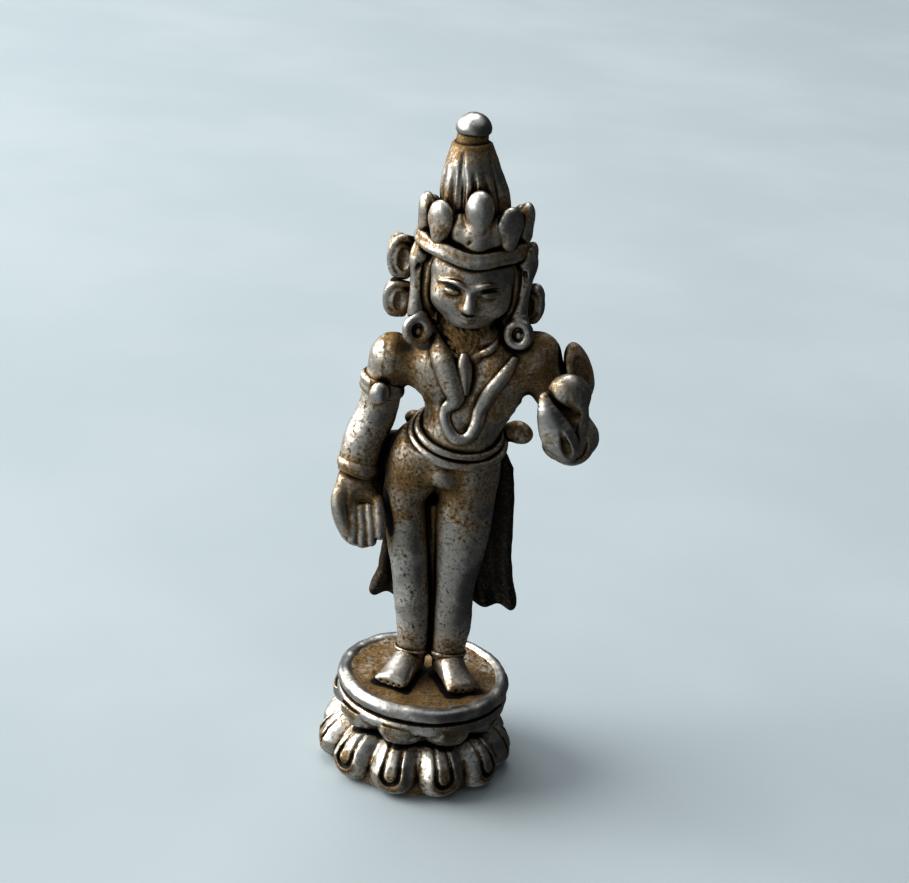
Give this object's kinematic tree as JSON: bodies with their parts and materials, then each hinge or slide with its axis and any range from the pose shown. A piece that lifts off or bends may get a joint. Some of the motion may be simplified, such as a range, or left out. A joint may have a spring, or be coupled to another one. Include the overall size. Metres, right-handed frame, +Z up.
{
  "type": "standing bodhisattva figurine",
  "caption": "Small cast metal devotional figure: a crowned, standing bodhisattva with one hand lowered and one raised, on a round double-lotus pedestal.",
  "frame": {"origin": "on the floor, under the middle of the pedestal disc", "axes": "+Z up; the figure faces -Y; +X is the figure's own left"},
  "size_m": [0.0191, 0.0148, 0.052],
  "materials": {
    "worn_metal": "hand-rubbed, silver-grey tarnished, brown in the recesses",
    "recessed_metal": "matt brown patina with grey showing through on the high points"
  },
  "bodies": {
    "root": {"back_drape": "recessed_metal", "back_hair": "worn_metal", "belt": "worn_metal", "chest_garland": "worn_metal", "crown_band": "worn_metal", "crown_front_leaf": "worn_metal", "crown_left_first_leaf": "worn_metal", "crown_left_second_leaf": "worn_metal", "crown_left_third_leaf": "worn_metal", "crown_right_first_leaf": "worn_metal", "crown_right_second_leaf": "worn_metal", "crown_right_third_leaf": "worn_metal", "finial": "worn_metal", "hair_cap": "worn_metal", "head": "worn_metal", "hips": "recessed_metal", "left_anklet": "worn_metal", "left_bracelet": "worn_metal", "left_ear": "worn_metal", "left_earring": "worn_metal", "left_fingers": "worn_metal", "left_foot": "worn_metal", "left_forearm": "worn_metal", "left_leg": "worn_metal", "left_lower_ribbon": "worn_metal", "left_palm": "worn_metal", "left_thumb": "worn_metal", "left_upper_arm": "worn_metal", "left_upper_ribbon": "worn_metal", "left_waist_knot": "worn_metal", "loincloth_knot": "worn_metal", "lotus_core": "recessed_metal", "lower_petals": "worn_metal", "neck": "recessed_metal", "necklace": "worn_metal", "pedestal_disc": "recessed_metal", "pendant": "worn_metal", "right_anklet": "worn_metal", "right_armlet": "worn_metal", "right_armlet_boss": "worn_metal", "right_bracelet": "worn_metal", "right_ear": "worn_metal", "right_earring": "worn_metal", "right_foot": "worn_metal", "right_forearm": "worn_metal", "right_hand": "worn_metal", "right_leg": "worn_metal", "right_lower_ribbon": "worn_metal", "right_thumb": "worn_metal", "right_upper_arm": "worn_metal", "right_upper_ribbon": "worn_metal", "right_waist_knot": "worn_metal", "rim_lower_roll": "worn_metal", "rim_upper_roll": "worn_metal", "shoulder_bud": "worn_metal", "topknot": "worn_metal", "torso": "worn_metal", "upper_petals": "worn_metal", "waist_cord": "worn_metal"}
  },
  "joints": []
}
